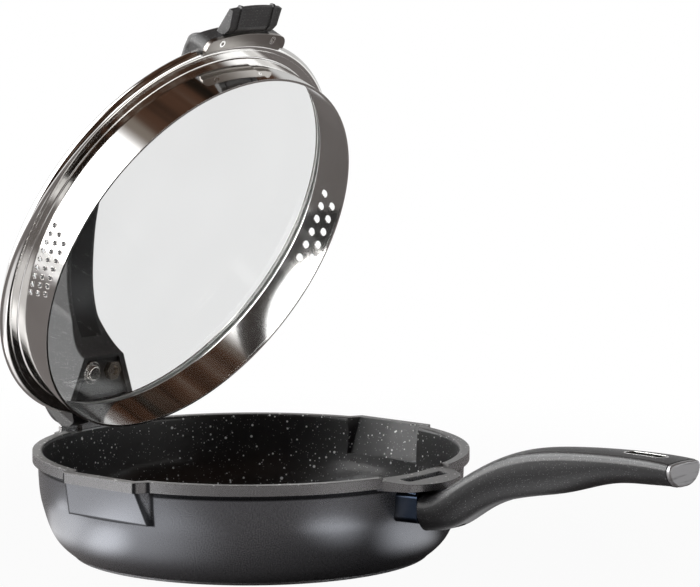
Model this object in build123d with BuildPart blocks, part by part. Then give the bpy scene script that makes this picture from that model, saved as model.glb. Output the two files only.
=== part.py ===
from build123d import *
from math import asin, cos, degrees, radians, sin, sqrt
import os

# Saute pan with a hinged glass strainer lid. Millimetres, +Z up, +X along the long handle.
# The origin is the centre of the base, on the surface that the pan stands on.
# Lid pieces are modelled shut and written out standing open, as in the photograph.

os.makedirs("parts", exist_ok=True)

# Pan casting
rim_radius = 147.0
rim_height = 70.0
rim_face = 7.0
rim_land = 5.4
rim_overhang = 3.6
groove_depth = 0.8
groove_height = 2.4
wall_thickness = 3.6
floor_thickness = 5.5
base_inset = 27.0
base_step = 2.0
base_ledge = 2.0
corner_width = 10.6
corner_height = 10.8
corner_rise = 30.0
corner_inset = 4.0
floor_border = 7.0
disc_border = 16.0
disc_thickness = 1.5
fit_gap = 0.1

rim_bottom = rim_height - rim_face
wall_radius = rim_radius - rim_overhang
base_radius = rim_radius - base_inset
disc_radius = base_radius - disc_border
corner_radius = base_radius + base_ledge + corner_width

# Pouring spouts, one on each side
spout_overhang = 4.2
spout_face_inset = 1.6
spout_offset = 2.0
spout_half_width = 31.0
spout_side = 5.5
spout_drop = 29.0
spout_foot_inset = 1.2
spout_foot_half_width = 35.0
spout_lip = 6.3
spout_root_depth = 17.4

spout_reach = rim_radius + spout_overhang
spout_face_reach = spout_reach - spout_face_inset
spout_foot = rim_height - spout_drop
spout_foot_reach = wall_radius - spout_foot_inset
spout_root = wall_radius - spout_root_depth

# Lugs that are cast with the rim, one for the hinge and one under the thumb tab
lug_length = 20.0
lug_bow = 8.0
lug_root_half_width = 34.0
lug_corner_half_width = 27.0
lug_root_drop = 2.1
lug_tip_drop = 4.5
lug_foot_drop = 8.8
slot_inset = 2.0
slot_width = 9.0
slot_length = 41.0

lug_reach = rim_radius + lug_length
lug_corner_reach = lug_reach - lug_bow
lug_root_top = rim_height - lug_root_drop
lug_tip_top = rim_height - lug_tip_drop
lug_bottom = rim_height - lug_foot_drop
slot_inner = rim_radius - slot_inset

# Boss, ferrule and long grip
boss_drop = 22.0
boss_length = 19.0
boss_half_width = 8.0
boss_height = 14.0
ferrule_length = 10.4
ferrule_rise = 1.15
ferrule_height = 20.9
ferrule_root_width = 41.0
ferrule_tip_width = 34.0
ferrule_corner = 4.0
ferrule_wall = 1.4
ferrule_gap = 0.2
grip_length = 194.9
cap_length = 3.0
cap_inset = 0.35
eye_border = 10.5
eye_length = 32.0
eye_width = 10.0
eye_rise = 13.5
liner_wall = 1.0
screw_radius = 2.5
screw_head_radius = 4.5
screw_head_height = 3.0
screw_slope = 32.0
screw_setback = 15.6
screw_drop = 6.8
screw_length = 22.0

boss_reach = rim_radius + boss_length
boss_middle = rim_height - boss_drop
ferrule_end = rim_radius + ferrule_length
ferrule_middle = boss_middle + ferrule_rise
grip_start = ferrule_end + ferrule_gap
grip_end = grip_start + grip_length
eye_middle = grip_end - eye_border - eye_length / 2
eye_foot = boss_middle + eye_rise
screw_seat_x = ferrule_end + screw_setback
screw_seat_z = boss_middle - screw_drop

# Hinge
hinge_setback = 0.5
hinge_rise = 13.0
pin_radius = 2.0
pin_clearance = 0.05
press_gap = 0.02
barrel_radius = 4.2
ear_half_width = 10.4
washer_thickness = 0.5
side_clearance = 0.3
cheek_radius = 11.2
cheek_half_width = 28.0
pin_half_length = 25.0
leaf_setback = 3.8
leaf_thickness = 2.6
leaf_rise = 1.8
open_angle = 63.5
neck_setback = 1.0
tongue_half_length = 18.0
tongue_inset = 1.6
clamp_thickness = 2.0
bracket_screw_spread = 22.0
bracket_screw_radius = 1.5

hinge_x = -rim_radius - hinge_setback
hinge_z = rim_height + hinge_rise
leaf_front = -rim_radius - leaf_setback
leaf_back = leaf_front - leaf_thickness
leaf_top = rim_height + leaf_rise
neck_front = -rim_radius - neck_setback
tongue_front = leaf_front + tongue_inset
tongue_middle = (leaf_back + tongue_front) / 2
cheek_inner = ear_half_width + washer_thickness + side_clearance

# Lid rim, strainer band and glass
lid_gap = 0.3
sheet = 0.7
band_inset = 10.2
band_depth = 29.1
band_bend = 1.0
hem_width = 0.9
hem_height = 1.4
channel_inset = 3.65
flange_inset = 1.15
roll_radius = 3.95
rim_lip = 4.75
glass_inset = 0.55
glass_border = 4.8
glass_thickness = 4.0
glass_rise = 8.0
small_hole = 3.2
small_pitch = 6.4
small_row = 6.6
large_hole = 5.6
large_pitch = 10.6
large_row = 9.3
hole_inset = 9.1
large_hole_inset = 10.9

band_radius = rim_radius - band_inset
channel_radius = rim_radius - channel_inset
flange_radius = channel_radius - flange_inset
glass_edge = channel_radius - glass_inset
glass_flat = glass_edge - glass_border
flange_z = rim_height + lid_gap
free_edge = flange_z - band_depth
channel_bottom = flange_z + sheet
roll_z = channel_bottom + roll_radius
channel_top = channel_bottom + 2 * roll_radius
glass_bottom = roll_z - glass_thickness / 2

# Lid handle
bow_half_width = 13.0
bow_inset = 6.35
bow_edge = 3.5
bow_under_edge = 1.5
liner_half_width = 10.0
liner_thickness = 2.5
arch_x = 8.0
arch_drop = 16.9
foot_arc = 15.0
foot_lip = 4.35
foot_overhang = 9.0
foot_corner = 7.0
tab_length = 19.3
tab_root_half_width = 23.0
tab_half_width = 24.5
clamp_drop = 1.6
clamp_strip = 3.0
clamp_lip = 1.95
clamp_screw_inset = 4.2
clamp_screw_side = 25.0
rib_spread = 16.0
rib_thickness = 1.6
foot_half_width = 39.0
face_inset = 33.35
face_foot_inset = 3.35
face_rise = 12.3
face_recess = 3.0
face_border = 2.0
plate_thickness = 1.0
plate_top_half = 15.5
plate_foot_half = 26.5
fixing_spread = 19.0
fixing_inset = 11.5
washer_radius = 8.4
washer_height = 1.6
nut_width = 12.0
nut_height = 4.0
fixing_radius = 2.5
plug_border = 1.5
plug_head = 1.2

bow_front = channel_radius - bow_inset
arch_z = channel_top - arch_drop
foot_inner = channel_radius - foot_lip
foot_outer = rim_radius + foot_overhang
foot_bottom = rim_height - clamp_drop
tab_reach = foot_outer + tab_length
face_reach = channel_radius - face_inset
face_top = (-face_reach, channel_top + face_rise)
face_foot = (face_foot_inset - channel_radius, channel_top + lid_gap)


def lug_top(x):
    # height of the sloping top face of a lug at the distance x from the middle
    slope = (lug_tip_top - lug_root_top) / (lug_reach - wall_radius)
    return lug_root_top + slope * (abs(x) - wall_radius)


screw_plane = Plane(
    origin=(screw_seat_x, 0, screw_seat_z),
    x_dir=(0, 1, 0),
    z_dir=(cos(radians(screw_slope)), 0, -sin(radians(screw_slope))),
)

# Pan casting: the outside, then spouts, lugs and boss, then the inside is cut
with BuildPart() as lug:
    with BuildSketch(Plane.XZ):
        with BuildLine():
            Polyline(
                (wall_radius - 6, lug_bottom),
                (lug_reach + 1, lug_bottom),
                (lug_reach + 1, lug_top(lug_reach + 1)),
                (wall_radius - 6, lug_top(wall_radius - 6)),
                close=True,
            )
        make_face()
    extrude(amount=lug_root_half_width + 10, both=True)
    with BuildSketch(Plane.XY.offset(lug_bottom - 5)):
        with BuildLine():
            Polyline(
                (lug_corner_reach, lug_corner_half_width),
                (wall_radius, lug_root_half_width),
                (wall_radius - 6, lug_root_half_width + 2),
                (wall_radius - 6, -lug_root_half_width - 2),
                (wall_radius, -lug_root_half_width),
                (lug_corner_reach, -lug_corner_half_width),
            )
            ThreePointArc(
                (lug_corner_reach, -lug_corner_half_width),
                (lug_reach, 0),
                (lug_corner_reach, lug_corner_half_width),
            )
        make_face()
    extrude(amount=20, mode=Mode.INTERSECT)
    with BuildSketch(Plane.XY.offset(lug_bottom - 5)):
        with Locations((slot_inner + slot_width / 2, 0)):
            RectangleRounded(slot_width, slot_length, 2.5)
    extrude(amount=20, mode=Mode.SUBTRACT)
    fillet(lug.edges().filter_by(Axis.Z).group_by(Axis.X)[-1], 3)

with BuildPart() as spout:
    with BuildSketch(Plane.XY.offset(spout_foot)):
        with Locations((spout_offset, 0)):
            Polygon(
                (-spout_foot_half_width, spout_foot_reach),
                (spout_foot_half_width, spout_foot_reach),
                (spout_foot_half_width + 1.5, spout_root),
                (-spout_foot_half_width - 1.5, spout_root),
                align=None,
            )
    with BuildSketch(Plane.XY.offset(rim_bottom)):
        with Locations((spout_offset, 0)):
            Polygon(
                (-spout_half_width, spout_face_reach),
                (spout_half_width, spout_face_reach),
                (spout_half_width + spout_side, spout_root + 10),
                (-spout_half_width - spout_side, spout_root + 10),
                align=None,
            )
    loft(ruled=True)
    with BuildSketch(Plane.XY.offset(rim_bottom)):
        with Locations((spout_offset, 0)):
            Polygon(
                (-spout_half_width, spout_reach),
                (spout_half_width, spout_reach),
                (spout_half_width + spout_side + 3, spout_root + 10),
                (-spout_half_width - spout_side - 3, spout_root + 10),
                align=None,
            )
    extrude(amount=rim_face)

with BuildPart() as spout_recess:
    inner_reach = spout_reach - spout_lip
    with BuildSketch(Plane.XY.offset(spout_foot + wall_thickness)):
        with Locations((spout_offset, 0)):
            Polygon(
                (-spout_foot_half_width + 4, spout_foot_reach - wall_thickness),
                (spout_foot_half_width - 4, spout_foot_reach - wall_thickness),
                (spout_foot_half_width, spout_root - 6),
                (-spout_foot_half_width, spout_root - 6),
                align=None,
            )
    with BuildSketch(Plane.XY.offset(rim_height + 0.01)):
        with Locations((spout_offset, 0)):
            Polygon(
                (-spout_half_width + 4, inner_reach),
                (spout_half_width - 4, inner_reach),
                (spout_half_width + spout_side, spout_root + 4),
                (-spout_half_width - spout_side, spout_root + 4),
                align=None,
            )
    loft(ruled=True)

with BuildPart() as pan_outside:
    with BuildSketch(Plane.XZ):
        with BuildLine():
            Polyline(
                (wall_radius, rim_bottom),
                (rim_radius, rim_bottom),
                (rim_radius, rim_height),
                (0, rim_height),
                (0, 0),
                (base_radius, 0),
                (base_radius, base_step),
                (base_radius + base_ledge, base_step),
            )
            Spline(
                (base_radius + base_ledge, base_step),
                (corner_radius, base_step + corner_height),
                (wall_radius - corner_inset, corner_rise),
                (wall_radius, rim_bottom),
                tangents=[(0.8, 0.6), (0.03, 1)],
            )
        make_face()
    revolve(axis=Axis.Z)
    with BuildSketch(Plane.XZ):
        with Locations((wall_radius, rim_bottom - groove_height / 2)):
            Rectangle(2 * groove_depth, groove_height)
    revolve(axis=Axis.Z, mode=Mode.SUBTRACT)

with BuildPart() as lug_ramp:
    with BuildSketch(Plane.XZ):
        Polygon(
            (wall_radius - 6, lug_top(wall_radius - 6)),
            (lug_reach + 1, lug_top(lug_reach + 1)),
            (lug_reach + 1, rim_height + 1),
            (wall_radius - 6, rim_height + 1),
            align=None,
        )
    extrude(amount=lug_root_half_width, both=True)

with BuildPart() as pan_body:
    add(pan_outside.part)
    add(spout.part)
    add(spout.part.mirror(Plane.XZ))
    add(lug.part)
    add(lug.part.rotate(Axis.Z, 180))
    add(lug_ramp.part, mode=Mode.SUBTRACT)
    add(lug_ramp.part.rotate(Axis.Z, 180), mode=Mode.SUBTRACT)
    with BuildSketch(Plane.YZ.offset(wall_radius - 8)):
        with Locations((0, boss_middle)):
            RectangleRounded(2 * boss_half_width, boss_height, 2)
    extrude(amount=boss_reach - wall_radius + 8)
    with BuildSketch(Plane.XZ):
        inner_top = wall_radius - wall_thickness
        inner_corner_z = base_step + corner_height + 0.6 * wall_thickness
        with BuildLine():
            Polyline(
                (0, floor_thickness),
                (0, rim_height),
                (rim_radius - rim_land, rim_height),
            )
            Spline(
                (rim_radius - rim_land, rim_height),
                (inner_top, rim_height - 3.5),
                tangents=[(-1, 0), (-0.03, -1)],
            )
            Spline(
                (inner_top, rim_height - 3.5),
                (inner_top - corner_inset, corner_rise),
                (corner_radius - 0.95 * wall_thickness, inner_corner_z),
                (base_radius - floor_border, floor_thickness),
                tangents=[(-0.03, -1), (-1, 0)],
            )
            Line((base_radius - floor_border, floor_thickness), (0, floor_thickness))
        make_face()
    revolve(axis=Axis.Z, mode=Mode.SUBTRACT)
    add(spout_recess.part, mode=Mode.SUBTRACT)
    add(spout_recess.part.mirror(Plane.XZ), mode=Mode.SUBTRACT)
    with BuildSketch(Plane.XY):
        Circle(disc_radius + fit_gap)
    extrude(amount=disc_thickness, mode=Mode.SUBTRACT)
    with BuildSketch(screw_plane):
        Circle(screw_radius + press_gap)
    extrude(amount=-screw_length - 1, mode=Mode.SUBTRACT)

with BuildPart() as induction_disc:
    with BuildSketch(Plane.XY):
        Circle(disc_radius)
    extrude(amount=disc_thickness)
    chamfer(induction_disc.edges().group_by(Axis.Z)[0], 0.4)

# Long grip: ferrule, moulded grip, end cap, hanging eye and the screw that holds it to the boss
def grip_point(share, rise):
    # a share of the grip's length and a height above the middle of the boss
    return grip_start + share * grip_length, boss_middle + rise


grip_crest = Spline(
    grip_point(0, 11.5),
    grip_point(0.064, 13.8),
    grip_point(0.125, 20.6),
    grip_point(0.197, 29.6),
    grip_point(0.289, 38.8),
    grip_point(0.402, 46.4),
    grip_point(0.536, 50.8),
    grip_point(0.679, 52.8),
    grip_point(0.823, 53.5),
    grip_point(0.962, 52.9),
    grip_point(1, 52.3),
)
grip_belly = Spline(
    grip_point(0, -14.6),
    grip_point(0.115, -9.4),
    grip_point(0.248, 6),
    grip_point(0.433, 17.5),
    grip_point(0.587, 23.8),
    grip_point(0.756, 33),
    grip_point(0.885, 35.4),
    grip_point(1, 36),
)
grip_flank = Spline(
    (grip_start, 17.5),
    (grip_start + 0.125 * grip_length, 16.8),
    (grip_start + 0.289 * grip_length, 15.5),
    (grip_start + 0.474 * grip_length, 15),
    (grip_start + 0.679 * grip_length, 15),
    (grip_start + 0.823 * grip_length, 15.5),
    (grip_end, 16.5),
)


def height_at(line, x):
    # height of a line at the distance x, found by halving
    low, high = 0.0, 1.0
    for step in range(30):
        middle = (low + high) / 2
        if (line @ middle).X < x:
            low = middle
        else:
            high = middle
    return (line @ low).Y


def grip_outline(x, inset=0.0):
    # closed section of the grip: flat bottom, two full lower corners and a crowned top
    u = (x - grip_start) / grip_length
    half = height_at(grip_flank, x) - inset
    base = height_at(grip_belly, x) + inset
    top = height_at(grip_crest, x) - inset
    shoulder = 4.3 + 5.0 * (1 - u)
    crown = 0.5 + 1.2 * (1 - u)
    side = top - shoulder
    foot = half * (0.35 - 0.2 * u)
    flat = half - 4.5 - 3.0 * (1 - u)
    Line((-foot, base), (foot, base))
    EllipticalCenterArc((foot, side), half - foot, side - base, 270, arc_size=90)
    EllipticalCenterArc((flat, side), half - flat, shoulder - crown, 0, arc_size=90)
    ThreePointArc((flat, top - crown), (0, top), (-flat, top - crown))
    EllipticalCenterArc((-flat, side), half - flat, shoulder - crown, 90, arc_size=90)
    EllipticalCenterArc((-foot, side), half - foot, side - base, 180, arc_size=90)


with BuildPart() as grip_form:
    for index in range(13):
        station = grip_start + grip_length * index / 12
        with BuildSketch(Plane.YZ.offset(station)):
            with BuildLine():
                grip_outline(station)
            make_face()
    loft()

with BuildPart() as handle_grip:
    add(grip_form.part)
    with BuildSketch(Plane.XY.offset(lug_bottom - side_clearance)):
        Circle(lug_reach + 0.5)
    extrude(amount=20, mode=Mode.SUBTRACT)
    with BuildSketch(Plane.YZ.offset(grip_start)):
        with Locations((0, boss_middle)):
            RectangleRounded(2 * boss_half_width + 2 * fit_gap, boss_height + 2 * fit_gap, 2)
    extrude(amount=boss_reach - grip_start + fit_gap, mode=Mode.SUBTRACT)
    with BuildSketch(Plane.XY.offset(eye_foot)):
        with Locations((eye_middle, 0)):
            SlotOverall(eye_length, eye_width)
    extrude(amount=60, mode=Mode.SUBTRACT)
    with BuildSketch(screw_plane):
        Circle(screw_head_radius + 0.3)
    extrude(amount=12, mode=Mode.SUBTRACT)
    with BuildSketch(screw_plane):
        Circle(screw_radius + fit_gap)
    extrude(amount=-14, mode=Mode.SUBTRACT)

with BuildPart() as eye_liner:
    with BuildSketch(Plane.XY.offset(eye_foot)):
        with Locations((eye_middle, 0)):
            SlotOverall(eye_length, eye_width)
            SlotOverall(eye_length - 2 * liner_wall, eye_width - 2 * liner_wall, mode=Mode.SUBTRACT)
    extrude(amount=60)
    add(grip_form.part, mode=Mode.INTERSECT)

with BuildPart() as handle_end_cap:
    with BuildSketch(Plane.YZ.offset(grip_end)):
        with BuildLine():
            grip_outline(grip_end, cap_inset)
        make_face()
    extrude(amount=cap_length)
    fillet(handle_end_cap.faces().sort_by(Axis.X)[-1].edges(), 1.2)

with BuildPart() as handle_screw:
    with BuildSketch(screw_plane):
        Circle(screw_head_radius)
    extrude(amount=screw_head_height)
    fillet(handle_screw.edges().sort_by(Axis.X)[-1], 1)
    with BuildSketch(screw_plane):
        Circle(screw_radius)
    extrude(amount=-screw_length)
    with BuildSketch(screw_plane.offset(screw_head_height)):
        RegularPolygon(2, 6)
    extrude(amount=-1.8, mode=Mode.SUBTRACT)

with BuildPart() as handle_ferrule:
    inner_height = ferrule_height - 2 * ferrule_wall
    with BuildSketch(Plane.YZ.offset(wall_radius - 6)):
        with Locations((0, ferrule_middle)):
            RectangleRounded(ferrule_root_width, ferrule_height, ferrule_corner)
    with BuildSketch(Plane.YZ.offset(ferrule_end)):
        with Locations((0, ferrule_middle)):
            RectangleRounded(ferrule_tip_width, ferrule_height, ferrule_corner)
    loft()
    with BuildSketch(Plane.YZ.offset(wall_radius - 6)):
        with Locations((0, ferrule_middle)):
            RectangleRounded(
                ferrule_root_width - 2 * ferrule_wall, inner_height, ferrule_corner - ferrule_wall
            )
    with BuildSketch(Plane.YZ.offset(ferrule_end - ferrule_wall)):
        with Locations((0, ferrule_middle)):
            RectangleRounded(
                ferrule_tip_width - 2 * ferrule_wall, inner_height, ferrule_corner - ferrule_wall
            )
    loft(mode=Mode.SUBTRACT)
    with BuildSketch(Plane.YZ.offset(ferrule_end - 4)):
        with Locations((0, boss_middle)):
            RectangleRounded(2 * boss_half_width + 2 * fit_gap, boss_height + 2 * fit_gap, 2)
    extrude(amount=5, mode=Mode.SUBTRACT)
    add(pan_outside.part, mode=Mode.SUBTRACT)

# Hinge on the rear lug
bracket_screw_places = [
    (tongue_middle, bracket_screw_spread / 2),
    (tongue_middle, -bracket_screw_spread / 2),
]

with BuildPart() as hinge_bracket:
    with BuildSketch(Plane.XZ):
        Polygon(
            (leaf_back, lug_top(leaf_back)),
            (leaf_front, lug_top(leaf_front)),
            (leaf_front, leaf_top),
            (leaf_back, leaf_top),
            align=None,
        )
    extrude(amount=cheek_half_width, both=True)
    with BuildSketch(Plane.XZ):
        Polygon(
            (leaf_back, lug_bottom),
            (tongue_front, lug_bottom),
            (tongue_front, lug_top(tongue_front)),
            (leaf_back, lug_top(leaf_back)),
            align=None,
        )
    extrude(amount=tongue_half_length, both=True)
    with BuildSketch(Plane.XZ):
        Polygon(
            (leaf_back, lug_top(leaf_back)),
            (neck_front, lug_top(neck_front)),
            (neck_front, hinge_z - 3),
            (hinge_x - 2, hinge_z + 3.5),
            (leaf_back, hinge_z - 3),
            align=None,
        )
        with Locations((hinge_x, hinge_z)):
            Circle(barrel_radius)
            Circle(pin_radius + press_gap, mode=Mode.SUBTRACT)
    extrude(amount=ear_half_width, both=True)
    with BuildSketch(Plane.XY.offset(lug_bottom)):
        with Locations(*bracket_screw_places):
            Circle(bracket_screw_radius)
    extrude(amount=6, mode=Mode.SUBTRACT)

with BuildPart() as clamp_plate:
    with BuildSketch(Plane.XY.offset(lug_bottom - clamp_thickness)):
        with Locations((tongue_middle - 0.5, 0)):
            RectangleRounded(13, 2 * tongue_half_length + 12, 2)
        with Locations(*bracket_screw_places):
            Circle(bracket_screw_radius + fit_gap, mode=Mode.SUBTRACT)
    extrude(amount=clamp_thickness)

with BuildPart() as clamp_screws:
    with BuildSketch(Plane.XY.offset(lug_bottom - clamp_thickness)):
        with Locations(*bracket_screw_places):
            Circle(bracket_screw_radius + 1.3)
    extrude(amount=-1.8)
    fillet(clamp_screws.edges().group_by(Axis.Z)[0], 0.8)
    with BuildSketch(Plane.XY.offset(lug_bottom - clamp_thickness)):
        with Locations(*bracket_screw_places):
            Circle(bracket_screw_radius)
    extrude(amount=clamp_thickness + 5.5)

with BuildPart() as hinge_pin:
    with BuildSketch(Plane.XZ):
        with Locations((hinge_x, hinge_z)):
            Circle(pin_radius)
    extrude(amount=pin_half_length, both=True)
    chamfer(hinge_pin.edges(), 0.4)

with BuildPart() as hinge_washers:
    with BuildSketch(Plane.XZ.offset(ear_half_width)):
        with Locations((hinge_x, hinge_z)):
            Circle(barrel_radius - 0.2)
            Circle(pin_radius + pin_clearance, mode=Mode.SUBTRACT)
    extrude(amount=washer_thickness)
    mirror(about=Plane.XZ)

# Lid: strainer band, rolled rim, seal and glass
def hole_planes(side, pitch, row_height, rows, first_row_z):
    # planes on the band's outer face for a pattern whose rows step back by half a pitch
    step = degrees(pitch / band_radius)
    planes = []
    for row, count in enumerate(rows):
        height = first_row_z - row * row_height
        for index in range(count):
            angle = radians(side + (index - (count - 1) / 2) * step)
            out = (cos(angle), sin(angle), 0)
            centre = ((band_radius - 3) * out[0], (band_radius - 3) * out[1], height)
            planes.append(Plane(origin=centre, z_dir=out))
    return planes


with BuildPart() as strainer_band:
    with BuildSketch(Plane.XZ):
        with BuildLine():
            Polyline(
                (band_radius, flange_z - band_bend),
                (band_radius, free_edge),
                (band_radius - sheet - hem_width, free_edge),
                (band_radius - sheet - hem_width, free_edge + hem_height),
                (band_radius - sheet, free_edge + hem_height),
                (band_radius - sheet, flange_z - band_bend),
            )
            RadiusArc(
                (band_radius - sheet, flange_z - band_bend),
                (band_radius + band_bend, flange_z + sheet),
                band_bend + sheet,
            )
            Polyline(
                (band_radius + band_bend, flange_z + sheet),
                (flange_radius, flange_z + sheet),
                (flange_radius, flange_z),
                (band_radius + band_bend, flange_z),
            )
            RadiusArc(
                (band_radius + band_bend, flange_z), (band_radius, flange_z - band_bend), -band_bend
            )
        make_face()
    revolve(axis=Axis.Z)
    with BuildSketch(*hole_planes(-90, small_pitch, small_row, [9, 8, 7], flange_z - hole_inset)):
        Circle(small_hole / 2)
    extrude(amount=6, mode=Mode.SUBTRACT)
    with BuildSketch(
        *hole_planes(90, large_pitch, large_row, [6, 5], flange_z - large_hole_inset)
    ):
        Circle(large_hole / 2)
    extrude(amount=6, mode=Mode.SUBTRACT)

with BuildPart() as lid_rim:
    lip_radius = channel_radius - rim_lip
    with BuildSketch(Plane.XZ):
        with BuildLine():
            Line((lip_radius, channel_bottom), (channel_radius, channel_bottom))
            ThreePointArc(
                (channel_radius, channel_bottom),
                (channel_radius + roll_radius, roll_z),
                (channel_radius, channel_top),
            )
            Polyline(
                (channel_radius, channel_top),
                (foot_inner, channel_top),
                (foot_inner, channel_top - sheet),
                (channel_radius, channel_top - sheet),
            )
            ThreePointArc(
                (channel_radius, channel_top - sheet),
                (channel_radius + roll_radius - sheet, roll_z),
                (channel_radius, channel_bottom + sheet),
            )
            Polyline(
                (channel_radius, channel_bottom + sheet),
                (lip_radius, channel_bottom + sheet),
                (lip_radius, channel_bottom),
            )
        make_face()
    revolve(axis=Axis.Z)

with BuildPart() as glass_seal:
    seal_inner = lip_radius + side_clearance
    with BuildSketch(Plane.XZ):
        with BuildLine():
            Line((seal_inner, channel_bottom + sheet), (channel_radius, channel_bottom + sheet))
            ThreePointArc(
                (channel_radius, channel_bottom + sheet),
                (channel_radius + roll_radius - sheet, roll_z),
                (channel_radius, channel_top - sheet),
            )
            Polyline(
                (channel_radius, channel_top - sheet),
                (foot_inner + side_clearance, channel_top - sheet),
                (foot_inner + side_clearance, glass_bottom + glass_thickness),
                (glass_edge, glass_bottom + glass_thickness),
                (glass_edge, glass_bottom),
                (seal_inner, glass_bottom),
                (seal_inner, channel_bottom + sheet),
            )
        make_face()
    revolve(axis=Axis.Z)

dome_radius = (glass_flat ** 2 + glass_rise ** 2) / (2 * glass_rise)
half_way = glass_flat / 2
half_rise = sqrt(dome_radius ** 2 - half_way ** 2) - (dome_radius - glass_rise)

with BuildPart() as lid_glass:
    with BuildSketch(Plane.XZ):
        with BuildLine():
            Line((0, glass_bottom + glass_rise), (0, glass_bottom + glass_rise + glass_thickness))
            ThreePointArc(
                (0, glass_bottom + glass_rise + glass_thickness),
                (half_way, glass_bottom + half_rise + glass_thickness),
                (glass_flat, glass_bottom + glass_thickness),
            )
            Polyline(
                (glass_flat, glass_bottom + glass_thickness),
                (glass_edge, glass_bottom + glass_thickness),
                (glass_edge, glass_bottom),
                (glass_flat, glass_bottom),
            )
            ThreePointArc(
                (glass_flat, glass_bottom),
                (half_way, glass_bottom + half_rise),
                (0, glass_bottom + glass_rise),
            )
        make_face()
    revolve(axis=Axis.Z)

# Lid handle: one bow from the hinge over the glass to the thumb tab
face_plane = Plane(
    origin=((face_top[0] + face_foot[0]) / 2, 0, (face_top[1] + face_foot[1]) / 2),
    x_dir=(0, 1, 0),
    z_dir=(face_top[1] - face_foot[1], 0, face_foot[0] - face_top[0]),
)

with BuildPart() as rim_envelope:
    with BuildSketch(Plane.XZ):
        with Locations((channel_radius - 5, roll_z)):
            Rectangle(10, 2 * roll_radius + 2 * press_gap)
        with Locations((channel_radius, roll_z)):
            Circle(roll_radius + press_gap)
    revolve(axis=Axis.Z)


def bow_point(share, rise):
    # a share of the reach to the front or rear foot and a height above the rolled rim
    reach = bow_front if share > 0 else face_reach
    return share * reach, channel_top + rise


def arch_moved(point, depth):
    # a point of the arch moved outward by a depth from the middle of the arch
    x, z = point
    reach = sqrt((x - arch_x) ** 2 + (z - arch_z) ** 2)
    return x + (x - arch_x) * depth / reach, z + (z - arch_z) * depth / reach


bow_foot = bow_point(1, 0)


def bow_underside(depth=0.0):
    # the line that the liner follows, from the front foot to the head of the rear foot's face
    Spline(
        arch_moved(bow_foot, depth),
        arch_moved(bow_point(0.945, 12.6), depth),
        arch_moved(bow_point(0.803, 24.6), depth),
        arch_moved(bow_point(0.657, 42.1), depth),
        arch_moved(bow_point(0.438, 60.1), depth),
        arch_moved(bow_point(0.219, 70.1), depth),
        arch_moved(bow_point(0, 74.1), depth),
        arch_moved(bow_point(-0.236, 72.1), depth),
        arch_moved(bow_point(-0.5, 63.1), depth),
        arch_moved(bow_point(-0.727, 51.1), depth),
        arch_moved(bow_point(-0.891, 36.1), depth),
        arch_moved(bow_point(-0.973, 23.1), depth),
        arch_moved(face_top, depth),
    )


rear_turn = (hinge_x - cheek_radius, hinge_z)
brow_foot = (foot_outer - 5, channel_top + 4.1)
with BuildSketch(Plane.XZ) as bow_side:
    with BuildLine():
        bow_underside()
        Polyline(
            face_top,
            face_foot,
            (face_foot[0], hinge_z - 9),
            (hinge_x, hinge_z - cheek_radius),
        )
        CenterArc((hinge_x, hinge_z), cheek_radius, 270, -90)
        Spline(
            rear_turn,
            (rear_turn[0] - 1.9, hinge_z + 8),
            (rear_turn[0] + 2, hinge_z + 19),
            bow_point(-1.255, 52.1),
            bow_point(-1.091, 67.1),
            bow_point(-0.818, 80.1),
            bow_point(-0.364, 88.1),
            bow_point(0, 87.1),
            bow_point(0.292, 77.1),
            bow_point(0.584, 57.1),
            bow_point(0.759, 38.1),
            bow_point(0.861, 29.1),
            bow_point(0.949, 27.1),
            (foot_outer - 16, channel_top + 20.1),
            (foot_outer - 8.6, channel_top + 10.1),
            brow_foot,
        )
        Polyline(brow_foot, (brow_foot[0], channel_top), bow_foot)
    make_face()

with BuildPart() as bow_form:
    with BuildSketch(Plane.XZ.offset(-45)):
        add(bow_side.sketch_local)
    extrude(amount=90)
    with BuildSketch(Plane.XY.offset(60)) as bow_plan:
        with BuildLine():
            Polyline(
                (hinge_x - 22.5, cheek_half_width),
                (hinge_x - 3.5, cheek_half_width),
                (hinge_x + 6.5, cheek_half_width + 5),
                (-face_reach - 1, bow_half_width + 7),
                (-face_reach + 14, bow_half_width),
                (bow_front - 25, bow_half_width),
                (bow_front - 7, bow_half_width + 4),
                (foot_outer - 9, foot_half_width - 1),
                (foot_outer - 4, foot_half_width - 8),
                (foot_outer - 4, 0),
                (hinge_x - 22.5, 0),
                close=True,
            )
        make_face()
        turns = bow_plan.vertices().filter_by_position(Axis.Y, 1, 60)
        turns = turns.filter_by_position(Axis.X, hinge_x + 1, bow_front)
        fillet(turns, 12)
        flare = bow_plan.vertices().filter_by_position(Axis.Y, 1, 60)
        flare = flare.filter_by_position(Axis.X, foot_outer - 10, foot_outer - 8)
        fillet(flare, 6)
        mirror(about=Plane.XZ)
    extrude(amount=150, mode=Mode.INTERSECT)
    crown = bow_form.faces().sort_by(Axis.Z)[-1]
    fillet(crown.edges().filter_by(Axis.Y, reverse=True), bow_edge)
    hollow = bow_form.faces().filter_by(lambda face: face.area > 4000 and face != crown)
    hollow = hollow.filter_by(GeomType.PLANE, reverse=True).sort_by(Axis.Z)[0]
    fillet(hollow.edges().filter_by(Axis.Y, reverse=True), bow_under_edge)


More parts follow.
